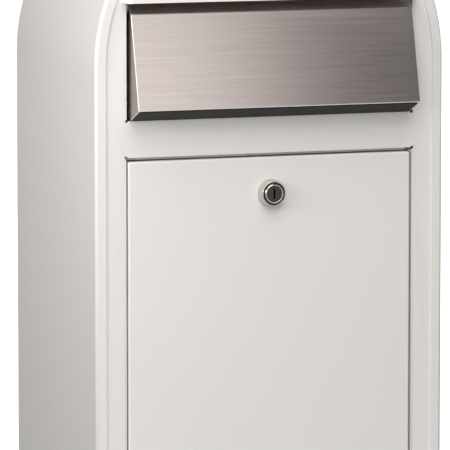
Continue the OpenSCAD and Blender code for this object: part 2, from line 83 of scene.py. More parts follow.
# The flap's outside skin: distances behind or ahead of the panel's face
LIP_BEHIND = 1.5 * MM
RETURN_BEHIND = 0.5 * MM
BEND_AHEAD = 6.2 * MM
HEEL_AHEAD = 2.5 * MM
CHEEK_BEHIND = 4 * MM
# The flap's outside skin: heights above its lowest point, and drops below its lip
LIP_HEIGHT = 118.0 * MM
RETURN_DROP = 2.5 * MM
BEND_DROP = 12.0 * MM
NOSE_HEIGHT = 11.0 * MM
HEM_HEIGHT = 8 * MM
CHEEK_FOOT = 2.5 * MM
EAR_DROP = 2 * MM
# The band of the flap's folds that gets a painted highlight starts this far below its nose and ends this far
# below its upper bend
PAINTED_HIGHLIGHT_BELOW_NOSE = 3 * MM
PAINTED_HIGHLIGHT_BELOW_BEND = 4 * MM
# Rims that stand out past the hole or pin they belong to
BUSH_RIM = 1.5 * MM
LOCK_WASHER_RIM = 3.9 * MM
DOOR_WASHER_RIM = 2 * MM
# Soft boxes: place, the point each one faces, and width and height
FRONT_LIGHT = ((-0.75, -2.3, 1.3), (-0.75, 0, 1.3), (3.32, 2.6))
KEY_LIGHT = ((-0.74, -0.37, 0.60), (-0.19, 0, 0.50), (0.3, 0.3))
OVERHEAD_SPREAD = math.radians(50)
OVERHEAD_TURN = (math.radians(32), 0, math.radians(-18))
FLOOR_RADIUS = 40.0

# ---------------------------------------------------------------- sizes and colours


class DropBoxSizes(PropertyGroup):
    """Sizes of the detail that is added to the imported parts"""

    sheet: FloatProperty(
        name="Coated sheet", description="Thickness of the coated sheet steel",
        default=1.5 * MM, min=0.8 * MM, max=3 * MM, precision=5, unit="LENGTH")
    coated_edge: FloatProperty(
        name="Coated edge", description="Rounding that the coating gives a sheet's edge",
        default=0.35 * MM, min=0.05 * MM, max=1 * MM, precision=5, unit="LENGTH")
    metal_edge: FloatProperty(
        name="Bare edge", description="Broken edge of the small metal parts",
        default=0.18 * MM, min=0.02 * MM, max=1 * MM, precision=5, unit="LENGTH")
    door_bend: FloatProperty(
        name="Door bend", description="Outside radius of the door's folds",
        default=2.2 * MM, min=1 * MM, max=4 * MM, precision=5, unit="LENGTH")
    door_corner: FloatProperty(
        name="Door corner", description="Corner radius of the door, seen from the front",
        default=2.5 * MM, min=1 * MM, max=6 * MM, precision=5, unit="LENGTH")
    door_top_gap: FloatProperty(
        name="Gap above the door", description="From the door's top up to the edge of its opening",
        default=4.1 * MM, min=2 * MM, max=8 * MM, precision=5, unit="LENGTH")
    lip_clearance: FloatProperty(
        name="Rain lip clearance", description="From the door's top up to the rain lip",
        default=0.9 * MM, min=0.7 * MM, max=3 * MM, precision=5, unit="LENGTH")
    lip_depth: FloatProperty(
        name="Rain lip depth", description="From the panel's face back to the rain lip",
        default=11 * MM, min=4 * MM, max=16 * MM, precision=5, unit="LENGTH")
    pin_play: FloatProperty(
        name="Pin play", description="Clearance between the door's pins and their holes",
        default=0.1 * MM, min=0, max=1 * MM, precision=5, unit="LENGTH")
    door_swing: FloatProperty(
        name="Door swing", description="Angle of the slots that stop the door",
        default=math.radians(95), min=0, max=math.pi, subtype="ANGLE", unit="ROTATION")
    hood_edge: FloatProperty(
        name="Hood edge", description="Rounded edge of the pressed hood",
        default=5 * MM, min=1 * MM, max=12 * MM, precision=5, unit="LENGTH")
    hood_root: FloatProperty(
        name="Hood root", description="Blend between the hood and the front panel",
        default=3 * MM, min=0.5 * MM, max=6 * MM, precision=5, unit="LENGTH")
    flap_sheet: FloatProperty(
        name="Flap sheet", description="Thickness of the stainless sheet",
        default=1.2 * MM, min=0.8 * MM, max=2 * MM, precision=5, unit="LENGTH")
    flap_bend: FloatProperty(
        name="Flap bend", description="Outside radius of the flap's folds",
        default=2.0 * MM, min=1.3 * MM, max=4 * MM, precision=5, unit="LENGTH")


class DropBoxColours(PropertyGroup):
    """Colours of the finishes"""

    coat: FloatVectorProperty(
        name="Powder coat", description="White powder coat", subtype="COLOR", size=3,
        min=0, max=1, default=(0.80, 0.775, 0.745))
    steel: FloatVectorProperty(
        name="Stainless", description="Brushed stainless steel", subtype="COLOR", size=3,
        min=0, max=1, default=(0.70, 0.62, 0.585))
    # Nearly white: a painted highlight for the flap's folds.
    painted_highlight_steel: FloatVectorProperty(
        name="Painted highlight stainless", description="Painted highlight on the flap's folds", subtype="COLOR", size=3,
        min=0, max=1, default=(0.98, 0.94, 0.92))
    zinc: FloatVectorProperty(
        name="Zinc sheet", description="Zinc-plated sheet steel", subtype="COLOR", size=3,
        min=0, max=1, default=(0.56, 0.57, 0.58))
    bright_zinc: FloatVectorProperty(
        name="Fasteners", description="Bright zinc plate on pins, studs and nuts", subtype="COLOR", size=3,
        min=0, max=1, default=(0.62, 0.62, 0.63))
    chrome: FloatVectorProperty(
        name="Lock chrome", description="Plated collar and housing of the lock", subtype="COLOR", size=3,
        min=0, max=1, default=(0.66, 0.62, 0.58))
    # Near black: the key plug's metal is darkened with painted shade, so its face looks dark inside the
    # collar.
    nickel: FloatVectorProperty(
        name="Lock plug", description="Shade-darkened nickel of the key plug", subtype="COLOR", size=3,
        min=0, max=1, default=(0.105, 0.09, 0.09))
    rubber: FloatVectorProperty(
        name="Rubber", description="Black rubber", subtype="COLOR", size=3,
        min=0, max=1, default=(0.022, 0.020, 0.020))
    nylon: FloatVectorProperty(
        name="Nylon", description="Natural nylon", subtype="COLOR", size=3,
        min=0, max=1, default=(0.72, 0.70, 0.64))
    floor: FloatVectorProperty(
        name="Floor", description="Pale studio floor", subtype="COLOR", size=3,
        min=0, max=1, default=(0.93, 0.93, 0.93))


class DropBoxStudio(PropertyGroup):
    """Camera and lights"""

    distance: FloatProperty(
        name="Camera distance", description="From the camera to the point it looks at",
        default=4.5497, min=0.5, max=30, unit="LENGTH")
    turn: FloatProperty(
        name="Camera turn", description="How far the camera stands round to the left",
        default=math.radians(21.81), subtype="ANGLE", unit="ROTATION")
    tilt: FloatProperty(
        name="Camera tilt", description="How far the camera looks down",
        default=math.radians(6.45), subtype="ANGLE", unit="ROTATION")
    aim_x: FloatProperty(
        name="Aim across", description="The point looked at, across from the middle",
        default=-50.1 * MM, precision=4, unit="LENGTH")
    aim_z: FloatProperty(
        name="Aim height", description="The point looked at, above the floor",
        default=344.9 * MM, precision=4, unit="LENGTH")
    focal_length: FloatProperty(
        name="Focal length", description="Focal length in millimetres on a 36 mm sensor",
        default=360, min=20, max=800)
    sky_strength: FloatProperty(
        name="Overhead light", description="Strength of the wide soft light overhead", default=1.9, min=0)
    front_power: FloatProperty(
        name="Front light", description="Power of the wide soft box in front, in watts",
        default=30.5, min=0)
    key_power: FloatProperty(
        name="Key light", description="Power of the soft box near the left side, in watts",
        default=2.7, min=0)
    room: FloatProperty(
        name="Room light", description="Strength of the light from the room", default=0.08, min=0)
    floor_bounce: FloatProperty(
        name="Floor bounce", description="Share of the floor's colour that lights the object",
        default=0.35, min=0, max=1)
    floor_lift: FloatProperty(
        name="Floor lift", description="Glow that keeps the far floor white", default=0.75, min=0, max=1)


# ---------------------------------------------------------------- finishes


class Value:
    """A socket that takes part in expressions: each operation adds a Math node."""

    def __init__(self, tree, socket):
        self.tree = tree
        self.socket = socket

    def _math(self, operation, *operands):
        node = self.tree.nodes.new("ShaderNodeMath")
        node.operation = operation
        for slot, operand in zip(node.inputs, operands):
            if isinstance(operand, Value):
                self.tree.links.new(operand.socket, slot)
            else:
                slot.default_value = operand
        return Value(self.tree, node.outputs[0])

    def __add__(self, other):
        return self._math("ADD", self, other)

    def __sub__(self, other):
        return self._math("SUBTRACT", self, other)

    def __mul__(self, other):
        return self._math("MULTIPLY", self, other)

    __radd__ = __add__
    __rmul__ = __mul__


class NodeWork:
    """A node tree and the ways to add to it."""

    def __init__(self, tree):
        self.tree = tree

    def node(self, kind, settings=None, sockets=None, output=0):
        """Adds a node, makes its settings, then fills its sockets; gives one output as a Value."""
        node = self.tree.nodes.new(kind)
        for name, setting in (settings or {}).items():
            if name == "stops":
                self._set_stops(node.color_ramp, setting)
            else:
                setattr(node, name, setting)
        self.fill(node, sockets or {})
        return Value(self.tree, node.outputs[output])

    def fill(self, node, sockets):
        """Sets or links a node's input sockets, by name or number."""
        for name, filling in sockets.items():
            if isinstance(filling, Value):
                self.tree.links.new(filling.socket, node.inputs[name])
            else:
                node.inputs[name].default_value = filling

    def _set_stops(self, ramp, stops):
        """Gives a colour ramp its stops, each a place and a grey level."""
        while len(ramp.elements) < len(stops):
            ramp.elements.new(0.5)
        for element, (place, grey) in zip(ramp.elements, stops):
            element.position = place
            element.color = (grey, grey, grey, 1)

    def mix(self, share, first, second):
        """Mixes two colours."""
        return self.node("ShaderNodeMix", {"data_type": "RGBA"}, {0: share, 6: first, 7: second}, 2)

    def stretch(self, place, scale):
        """Scales a place by a vector."""
        return self.node("ShaderNodeVectorMath", {"operation": "MULTIPLY"}, {0: place, 1: scale})

    def noise(self, place, scale, detail=2.0, roughness=0.5):
        """Smooth noise from 0 to 1."""
        sockets = {"Vector": place, "Scale": scale, "Detail": detail, "Roughness": roughness}
        return self.node("ShaderNodeTexNoise", None, sockets)

    def axes(self, place):
        """The X, Y and Z parts of a vector."""
        first = self.node("ShaderNodeSeparateXYZ", None, {"Vector": place})
        return [Value(self.tree, part) for part in first.socket.node.outputs]

    def ramp(self, value, *stops):
        """A grey ramp over a value."""
        return self.node("ShaderNodeValToRGB", {"stops": stops}, {0: value})


class Finish(NodeWork):
    """A material whose Principled shader is filled from this object's own patterns."""

    def __init__(self, name):
        self.material = bpy.data.materials.new(name)
        self.material.use_nodes = True
        super().__init__(self.material.node_tree)
        self.shader = self.tree.nodes["Principled BSDF"]
        self.place = self.node("ShaderNodeTexCoord", output=3)

    def bump(self, height, strength, distance):
        """A surface normal from a height pattern."""
        sockets = {"Height": height, "Strength": strength, "Distance": distance}
        return self.node("ShaderNodeBump", None, sockets)

    def set(self, **sockets):
        """Fills the shader's sockets; underscores stand for spaces."""
        named = {name.replace("_", " "): filling for name, filling in sockets.items()}
        self.fill(self.shader, named)
        return self.material


def shade(colour, factor):
    """A colour made lighter or darker, with full alpha."""
    return tuple(min(1.0, channel * factor) for channel in colour[:3]) + (1.0,)


def powder_coat(colour):
    """White powder coat: very fine orange peel, faint clouding and a few dull specks."""
    finish = Finish("Powder coat")
    cloud = finish.noise(finish.place, 7.0, 3.0)
    peel = finish.noise(finish.place, 620.0, 2.0)
    grain = finish.noise(finish.place, 2600.0, 1.0)
    specks = finish.ramp(finish.noise(finish.place, 900.0, 0.0), (0.78, 0.0), (0.84, 1.0))
    tone = finish.mix(cloud, shade(colour, 0.985), shade(colour, 1.015))
    return finish.set(
        Base_Color=finish.mix(specks * 0.12, tone, shade(colour, 0.8)),
        Roughness=0.36 + 0.07 * cloud + 0.06 * grain,
        IOR=1.5,
        Normal=finish.bump(peel + 0.35 * grain, 0.10, 0.00012))


def brushed_steel(name, colour, along, dullness, metal=1.0):
    """Brushed sheet: long fine scratches along one axis, with a soft unevenness."""
    finish = Finish(name)
    across = Vector((1, 1, 1)) - along
    fine = finish.noise(finish.stretch(finish.place, along * 14 + across * 2400), 1.0, 3.0, 0.6)
    coarse = finish.noise(finish.stretch(finish.place, along * 7 + across * 420), 1.0, 2.0)
    cloud = finish.noise(finish.place, 16.0, 2.0)
    streaks = 0.6 * fine + 0.4 * coarse
    contrast = finish.ramp(streaks, (0.32, 0.0), (0.68, 1.0))
    return finish.set(
        Base_Color=finish.mix(contrast, shade(colour, 0.91), shade(colour, 1.07)),
        Metallic=metal,
        Roughness=dullness + 0.06 * streaks + 0.03 * cloud,
        Anisotropic=0.3,
        Anisotropic_Rotation=0.25,
        Normal=finish.bump(streaks, 0.12, 0.00006))


def zinc_sheet(colour):
    """Zinc-plated sheet: faint crystal spangle over a milky grain."""
    finish = Finish("Zinc sheet")
    spangle = finish.node(
        "ShaderNodeTexVoronoi", {"feature": "SMOOTH_F1"},
        {"Vector": finish.place, "Scale": 160.0, "Smoothness": 0.4})
    milk = finish.noise(finish.place, 45.0, 4.0)
    grain = finish.noise(finish.place, 1500.0, 2.0)
    mottle = 0.5 * spangle + 0.5 * milk
    return finish.set(
        Base_Color=finish.mix(mottle, shade(colour, 0.82), shade(colour, 1.16)),
        Metallic=0.9,
        Roughness=0.34 + 0.16 * mottle + 0.05 * grain,
        Normal=finish.bump(spangle + 0.2 * grain, 0.08, 0.00008))


def plated(name, colour, roughness, mottling, grain_scale=1100.0):
    """Plated small part: a fine turned grain and a little cloudiness."""
    finish = Finish(name)
    cloud = finish.noise(finish.place, 130.0, 3.0)
    grain = finish.noise(finish.place, grain_scale, 2.0)
    return finish.set(
        Base_Color=finish.mix(cloud, shade(colour, 1 - mottling), shade(colour, 1 + mottling)),
        Metallic=1.0,
        Roughness=roughness + 0.09 * cloud + 0.06 * grain,
        Normal=finish.bump(grain, 0.05, 0.00005))


def rubber(colour):
    """Matt black rubber with a dusty bloom."""
    finish = Finish("Rubber")
    bloom = finish.noise(finish.place, 85.0, 4.0)
    grain = finish.noise(finish.place, 1900.0, 2.0)
    return finish.set(
        Base_Color=finish.mix(bloom, shade(colour, 0.8), shade(colour, 1.6)),
        Roughness=0.62 + 0.2 * bloom,
        Normal=finish.bump(grain, 0.25, 0.0001))


def nylon(colour):
    """Natural nylon with a moulded skin."""
    finish = Finish("Nylon")
    cloud = finish.noise(finish.place, 60.0, 3.0)
    skin = finish.noise(finish.place, 1200.0, 2.0)
    return finish.set(
        Base_Color=finish.mix(cloud, shade(colour, 0.93), shade(colour, 1.05)),
        Roughness=0.42 + 0.12 * skin,
        Subsurface_Weight=0.15,
        Subsurface_Scale=0.001,
        Normal=finish.bump(skin, 0.12, 0.00008))


def studio_floor(colour, bounce, lift):
    """Pale seamless floor: it sends less light back on to the object than it shows."""
    finish = Finish("Studio floor")
    cloud = finish.noise(finish.place, 0.6, 2.0)
    weave = finish.noise(finish.place, 240.0, 2.0)
    seen = finish.node("ShaderNodeLightPath", output=0)
    pale = finish.mix(cloud, shade(colour, 0.99), shade(colour, 1.01))
    return finish.set(
        Base_Color=finish.mix(seen, shade(colour, bounce), pale),
        Emission_Color=finish.mix(seen, (0, 0, 0, 1), (lift, lift, lift, 1)),
        Emission_Strength=1.0,
        Specular_IOR_Level=0.0,
        Roughness=0.75 + 0.1 * weave)


finishes = {}


def make_finishes(colours):
    """Builds one material for each slot in the record, and two more for the flap: a darker stainless for its
    cheeks, which is painted shade, and a lighter stainless for its folds, which is a painted highlight.
    """
    finishes["white_coat"] = powder_coat(colours.coat)
    across, back = Vector((1, 0, 0)), Vector((0, 1, 0))
    finishes["stainless"] = brushed_steel("Brushed stainless", colours.steel, across, 0.17)
    # The cheeks are the flap's stainless darkened to about half, which is painted shade. Their rougher grain
    # along Y is their own finish.
    finishes["stainless_side"] = brushed_steel("Stainless cheeks with painted shade", shade(colours.steel, 0.55), back, 0.30)
    # A much lighter, duller and less metallic stainless for the flap's folds. It is a painted highlight that
    # stands in for the light the bends catch.
    finishes["stainless_edge"] = brushed_steel("Painted highlight stainless edges", colours.painted_highlight_steel, across, 0.38, 0.4)
    finishes["zinc_sheet"] = zinc_sheet(colours.zinc)
    finishes["fastener"] = plated("Bright zinc plate", colours.bright_zinc, 0.26, 0.07)
    finishes["lock_chrome"] = plated("Lock chrome", colours.chrome, 0.10, 0.03)
    # The plug's near-black nickel is painted shade.
    finishes["plug_metal"] = plated("Shade-darkened nickel", colours.nickel, 0.30, 0.12, 700.0)
    finishes["rubber"] = rubber(colours.rubber)
    finishes["nylon"] = nylon(colours.nylon)


# ---------------------------------------------------------------- shapes


def dress(names, slot, edge):
    """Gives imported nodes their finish, and rounds their sharp edges by a small amount."""
    for name in names:
        node = nodes[name]
        for place in node.material_slots:
            place.material = finishes[slot]
        weld = node.modifiers.new("Weld", "WELD")
        weld.merge_threshold = 0.002 * MM
        soften(node, edge, folded=False)


def soften(piece, edge, folded=True):
    """Rounds a piece's sharp edges and keeps its flat faces flat, also beside its own round folds."""
    if edge > 0:
        bevel = piece.modifiers.new("Edges", "BEVEL")
        bevel.width = edge
        bevel.segments = 2
        bevel.limit_method = "ANGLE"
        bevel.angle_limit = math.radians(40)
        bevel.harden_normals = not folded
    if not folded:
        return
    normals = piece.modifiers.new("Normals", "WEIGHTED_NORMAL")
    normals.keep_sharp = False
    normals.weight = 100


def add_piece(name, mesh, body, materials):
    """Adds an object that rides on a body."""
    piece = bpy.data.objects.new(name, mesh)
    bpy.context.scene.collection.objects.link(piece)
    for material in materials:
        mesh.materials.append(material)
    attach(piece, body)
    return piece


def to_mesh(name, bm):
    """Turns a bmesh into a mesh with smooth faces."""
    for face in bm.faces:
        face.smooth = True
    mesh = bpy.data.meshes.new(name)
    bm.to_mesh(mesh)
    bm.free()
    return mesh


def bridge(bm, first, second, closed=True):
    """Joins two rows of vertices with quads."""
    count = len(first)
    steps = count if closed else count - 1
    for i in range(steps):
        j = (i + 1) % count
        bm.faces.new((first[i], first[j], second[j], second[i]))


def rounded_rectangle(low_x, low_z, high_x, high_z, radius, steps=6):
    """Outline of a rectangle with round corners, as (x, z) points."""
    centres = (
        (high_x - radius, high_z - radius, 0),
        (low_x + radius, high_z - radius, 90),
        (low_x + radius, low_z + radius, 180),
        (high_x - radius, low_z + radius, 270),
    )
    points = []
    for x, z, start in centres:
        for step in range(steps + 1):
            angle = math.radians(start + 90 * step / steps)
            points.append((x + radius * math.cos(angle), z + radius * math.sin(angle)))
    return points


def cutter(name, outline, low_x, high_x):
    """A hidden prism along X over a Y-Z outline, for cutting holes."""
    bm = bmesh.new()
    ends = [[bm.verts.new((x, y, z)) for y, z in outline] for x in (low_x, high_x)]
    bridge(bm, *ends)
    for end in ends:
        bm.faces.new(end)
    bmesh.ops.recalc_face_normals(bm, faces=bm.faces)
    return bpy.data.objects.new(name, to_mesh(name, bm))


def circle_outline(centre, radius, steps=32):
    """A circle in the Y-Z plane."""
    turns = [2 * math.pi * step / steps for step in range(steps)]
    return [(centre.y + radius * math.cos(turn), centre.z + radius * math.sin(turn)) for turn in turns]


def slot_outline(centre, radius, half_width, start, end, steps=24):
    """A round-ended slot along an arc in the Y-Z plane, from one angle to another."""
    points = []
    for side, first, last in ((1, start, end), (-1, end, start)):
        for step in range(steps + 1):
            angle = first + (last - first) * step / steps
            reach = radius + side * half_width
            points.append((centre.y + reach * math.cos(angle), centre.z + reach * math.sin(angle)))
        pivot = Vector((radius * math.cos(last), radius * math.sin(last)))
        for step in range(1, 8):
            angle = last + (math.pi * step / 8 if side > 0 else math.pi + math.pi * step / 8)
            points.append((centre.y + pivot.x + half_width * math.cos(angle),
                           centre.z + pivot.y + half_width * math.sin(angle)))
    return points


def cut_out(mesh_object, cutters):
    """Cuts the cutters out of an object and keeps the result as its mesh."""
    collection = bpy.context.scene.collection
    for tool in cutters:
        collection.objects.link(tool)
        cut = mesh_object.modifiers.new("Cut", "BOOLEAN")
        cut.object = tool
        cut.operation = "DIFFERENCE"
        cut.solver = "EXACT"
    bpy.context.view_layer.update()
    shown = mesh_object.evaluated_get(bpy.context.evaluated_depsgraph_get())
    mesh_object.data = bpy.data.meshes.new_from_object(shown)
    mesh_object.modifiers.clear()
    for tool in cutters:
        bpy.data.objects.remove(tool)


# ---------------------------------------------------------------- operators


class DROPBOX_OT_finishes(Operator):
    """Build the materials"""

    bl_idname = "drop_box.finishes"
    bl_label = "Finishes"

    def execute(self, context):
        make_finishes(context.scene.drop_box_colours)
        return {"FINISHED"}


class DROPBOX_OT_cabinet(Operator):
    """Coat the casing, front panel, rear panel and base, and round their edges"""

    bl_idname = "drop_box.cabinet"
    bl_label = "Cabinet"

    def execute(self, context):
        sizes = context.scene.drop_box_sizes
        dress(("casing_shell", "front_panel", "rear_panel", "base_plate"), "white_coat", sizes.coated_edge)
        return {"FINISHED"}


class DROPBOX_OT_hood(Operator):
    """Replace the plain hood with a pressed one that has a round edge and a blended root"""

    bl_idname = "drop_box.hood"
    bl_label = "Hood"

    def execute(self, context):
        sizes = context.scene.drop_box_sizes
        piece = add_piece("pressed_hood", self.hood_mesh(sizes), "cabinet",
                          [finishes["white_coat"]])
        shell = piece.modifiers.new("Sheet", "SOLIDIFY")
        shell.thickness = sizes.sheet
        shell.offset = -1
        soften(piece, sizes.coated_edge)
        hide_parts("flap_hood")
        return {"FINISHED"}

    def hood_mesh(self, sizes):
        """Rows of points from outside the root over the rounded edge to the middle of the lower edge."""
        lower_z = hood_low.z
        rise = lower_z - ARCH_Z
        outer = hood_high.z - ARCH_Z
        reach = FACE_Y - hood_low.y
        root_share = 0.22
        steps = 8
        rows = []
        for step in range(steps + 1):
            turn = math.pi / 2 * step / steps
            rows.append((outer + sizes.hood_root * (1 - math.sin(turn)), root_share * (1 - math.cos(turn))))
        for step in range(1, steps + 1):
            turn = math.pi / 2 * step / steps
            rows.append((outer - sizes.hood_edge * (1 - math.cos(turn)),
                         root_share + (1 - root_share) * math.sin(turn)))
        inner = outer - sizes.hood_edge
        spread = 12
        # a hair outside the circle where the arc would shrink to nothing
        last = rise * 1.0004
        rows += [(inner + (last - inner) * step / spread, 1.0) for step in range(1, spread + 1)]
        bm = bmesh.new()
        columns = 96
        grid = []
        for radius, height in rows:
            start = math.asin(min(1.0, rise / radius))
            row = []
            for column in range(columns + 1):
                angle = start + (math.pi - 2 * start) * column / columns
                x = radius * math.cos(angle)
                z = ARCH_Z + radius * math.sin(angle)
                wedge = reach * max(0.0, hood_high.z - z) / (hood_high.z - lower_z)
                sunk = sizes.coated_edge * (1 - min(1.0, height / root_share))
                row.append(bm.verts.new((x, FACE_Y - wedge * height + sunk, z)))
            grid.append(row)
        for outside, inside in zip(grid, grid[1:]):
            bridge(bm, outside, inside, closed=False)
        bmesh.ops.recalc_face_normals(bm, faces=bm.faces)
        face_forwards(bm)
        return to_mesh("pressed_hood", bm)


def face_forwards(bm):
    """Turns every face over if most of the surface looks backwards."""
    looking = sum(face.normal.y * face.calc_area() for face in bm.faces)
    if looking > 0:
        bmesh.ops.reverse_faces(bm, faces=bm.faces)


class DROPBOX_OT_flap(Operator):
    """Replace the plain flap with one folded from brushed sheet, with round folds and mitred corners"""

    bl_idname = "drop_box.flap"
    bl_label = "Flap"

    def execute(self, context):
        sizes = context.scene.drop_box_sizes
        piece = add_piece("folded_flap", self.flap_mesh(sizes), "flap",
                          [finishes["stainless"], finishes["stainless_side"], finishes["stainless_edge"]])
        shell = piece.modifiers.new("Sheet", "SOLIDIFY")
        shell.thickness = sizes.flap_sheet
        shell.offset = -1
        shell.use_even_offset = True
        bush_low, bush_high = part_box("flap_bushes")
        bush_radius = (bush_high.z - bush_low.z) / 2 - BUSH_RIM
        hole = cutter("bush_hole", circle_outline(ROD, bush_radius), 2 * flap_low.x, 2 * flap_high.x)
        cut_out(piece, [hole])
        soften(piece, sizes.metal_edge)
        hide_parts("flap_plate")
        dress(["flap_strip"], "rubber", 0)
        dress(["flap_stiffener"], "zinc_sheet", sizes.metal_edge)
        dress(["flap_bushes"], "nylon", sizes.metal_edge)
        return {"FINISHED"}

    def flap_mesh(self, sizes):
        """Outside skin of the flap: lip, top return, face and lower fold, with a cheek at each end."""
        lip = (FACE_Y + LIP_BEHIND, flap_low.z + LIP_HEIGHT)
        return_end = (FACE_Y + RETURN_BEHIND, lip[1] - RETURN_DROP)
        bend = (FACE_Y - BEND_AHEAD, lip[1] - BEND_DROP)
        nose = (flap_low.y, flap_low.z + NOSE_HEIGHT)
        heel = (FACE_Y - HEEL_AHEAD, flap_low.z)
        hem = (heel[0], heel[1] + HEM_HEIGHT)
        tuck = FACE_Y + CHEEK_BEHIND
        ear = flap_high.y - ROD.y
        arc = [math.radians(angle) for angle in range(-40, 141, 12)]
        cheek_back = [(tuck, heel[1] + CHEEK_FOOT), (tuck, ROD.z - ear - EAR_DROP)]
        cheek_back += [(ROD.y + ear * math.cos(turn), ROD.z + ear * math.sin(turn)) for turn in arc]
        folds = [lip, return_end, bend, nose, heel]
        bm = bmesh.new()
        sides = []
        for x in (flap_low.x, flap_high.x):
            front = [bm.verts.new((x, y, z)) for y, z in folds + [hem]]
            back = [bm.verts.new((x, y, z)) for y, z in cheek_back]
            cheek = bm.faces.new(front[:-1] + back)
            # Material 1 is the darkened stainless, which paints shade on the cheeks.
            cheek.material_index = 1
            sides.append(front)
        bridge(bm, *sides, closed=False)
        bm.edges.ensure_lookup_table()
        bmesh.ops.recalc_face_normals(bm, faces=bm.faces)
        face_forwards(bm)
        bends = [edge for pair in zip(*[side[2:5] for side in sides]) for edge in [bm.edges.get(pair)]]
        for side in sides:
            bends += [bm.edges.get(pair) for pair in zip(side[1:4], side[2:5])]
        bmesh.ops.bevel(
            bm, geom=bends, offset=sizes.flap_bend, offset_type="OFFSET", segments=5,
            profile=0.5, affect="EDGES", clamp_overlap=True, material=2)
        # Fold faces from just below the nose to just below the upper bend keep material 2, the lighter
        # stainless. This paints a highlight along the nose and the cheeks' front folds. The other folds go
        # back to plain stainless.
        for face in bm.faces:
            height = face.calc_center_median().z
            in_painted_highlight = nose[1] - PAINTED_HIGHLIGHT_BELOW_NOSE < height < bend[1] - PAINTED_HIGHLIGHT_BELOW_BEND
            if face.material_index == 2 and not in_painted_highlight:
                face.material_index = 0
        return to_mesh("folded_flap", bm)


class DROPBOX_OT_flap_hinge(Operator):
    """Finish the flap's rod, brackets, clips and buffers"""

    bl_idname = "drop_box.flap_hinge"
    bl_label = "Flap hinge"

    def execute(self, context):
        edge = context.scene.drop_box_sizes.metal_edge
        dress(("flap_bracket_left", "flap_bracket_right"), "zinc_sheet", edge)
        dress(["hinge_rod"], "stainless", edge)
        dress(["rod_clips"], "fastener", edge)
        dress(["flap_buffers"], "rubber", edge)
        return {"FINISHED"}


class DROPBOX_OT_door(Operator):
    """Replace the plain door with a round-folded pan, add the rain lip, and finish stiffeners and hinges"""

    bl_idname = "drop_box.door"
    bl_label = "Door"

    def execute(self, context):
        sizes = context.scene.drop_box_sizes
        piece = add_piece("door_pan", self.door_mesh(sizes), "door", [finishes["white_coat"]])
        cut_out(piece, [self.lock_hole(), *self.hinge_holes(sizes)])
        soften(piece, 0)
        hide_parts("door_panel")
        add_piece("rain_lip", self.lip_mesh(sizes), "cabinet", [finishes["white_coat"]])
        dress(("door_stiffener_left", "door_stiffener_right"), "zinc_sheet", sizes.metal_edge)
        dress(("door_hinge_pins", "door_stop_pins"), "fastener", sizes.metal_edge)
        dress(["door_washers"], "nylon", sizes.metal_edge)
        dress(["door_buffers"], "rubber", sizes.metal_edge)
        return {"FINISHED"}

    def door_mesh(self, sizes):
        """A closed pan: face, round fold, flanges, rim and inside."""
        depth = door_high.y - door_low.y
        fold, sheet = sizes.door_bend, sizes.sheet
        inner = max(fold - sheet, 0.2 * MM)
        rim = 0.3 * MM
        tightest = 0.25 * MM
        steps = 6
        turns = [math.pi / 2 * step / steps for step in range(steps + 1)]
        section = [(fold * (1 - math.sin(turn)), fold * (1 - math.cos(turn))) for turn in turns]
        section += [(0, depth - rim), (rim, depth), (sheet - rim, depth), (sheet, depth - rim)]
        section += [(sheet + inner * (1 - math.sin(turn)), sheet + inner * (1 - math.cos(turn)))
                    for turn in reversed(turns)]
        bm = bmesh.new()
        loops = []
        for inset, behind in section:
            outline = rounded_rectangle(
                door_low.x + inset, door_low.z + inset, door_high.x - inset, door_high.z - inset,
                max(sizes.door_corner - inset, tightest))
            loops.append([bm.verts.new((x, FACE_Y + behind, z)) for x, z in outline])
        for outside, inside in zip(loops, loops[1:]):
            bridge(bm, outside, inside)
        bm.faces.new(loops[0])
        bm.faces.new(loops[-1])
        bmesh.ops.recalc_face_normals(bm, faces=bm.faces)
        return to_mesh("door_pan", bm)

    def lip_mesh(self, sizes):
        """Angle strip under the top folded edge of the opening, which keeps rain out of the gap."""
        top = door_high.z + sizes.door_top_gap
        low = door_high.z + sizes.lip_clearance
        front = FACE_Y + sizes.lip_depth
        shelf = 8 * MM
        back = front + shelf
        thick = 1.0 * MM
        short = 1 * MM
        profile = [
            (front, top), (front, low), (front + thick, low), (front + thick, top - thick),
            (back, top - thick), (back, top)]
        bm = bmesh.new()
        ends = []
        for x in (door_low.x + short, door_high.x - short):
            ends.append([bm.verts.new((x, y, z)) for y, z in profile])
            bm.faces.new(ends[-1])
        bridge(bm, *ends)
        bmesh.ops.recalc_face_normals(bm, faces=bm.faces)
        bmesh.ops.bevel(
            bm, geom=list(bm.edges), offset=0.2 * MM, offset_type="OFFSET", segments=2,
            profile=0.5, affect="EDGES", clamp_overlap=True)
        return to_mesh("rain_lip", bm)

    def lock_hole(self):
        """Round hole for the lock, in the door's face."""
        low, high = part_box("lock_washer")
        radius = (high.z - low.z) / 2 - LOCK_WASHER_RIM
        reach = 5 * MM
        tool = cutter("lock_hole", circle_outline(Vector((0, 0, 0)), radius, 48), -reach, reach)
        tool.data.transform(Matrix.Rotation(math.pi / 2, 4, "Z"))
        tool.data.transform(Matrix.Translation((LOCK.x, FACE_Y, LOCK.z)))
        return tool

    def hinge_holes(self, sizes):
        """Pin holes and stop slots, through both flanges."""
        low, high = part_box("door_washers")
        radius = (high.z - low.z) / 2 - DOOR_WASHER_RIM + sizes.pin_play
        reach = (STOP_PIN - DOOR_PIN).length
        start = math.pi / 2 - sizes.door_swing
        wide = 2 * door_high.x
        return [
            cutter("pin_hole", circle_outline(DOOR_PIN, radius), -wide, wide),
            cutter("stop_slot", slot_outline(DOOR_PIN, reach, radius + sizes.pin_play, start, math.pi / 2),
                   -wide, wide),
        ]


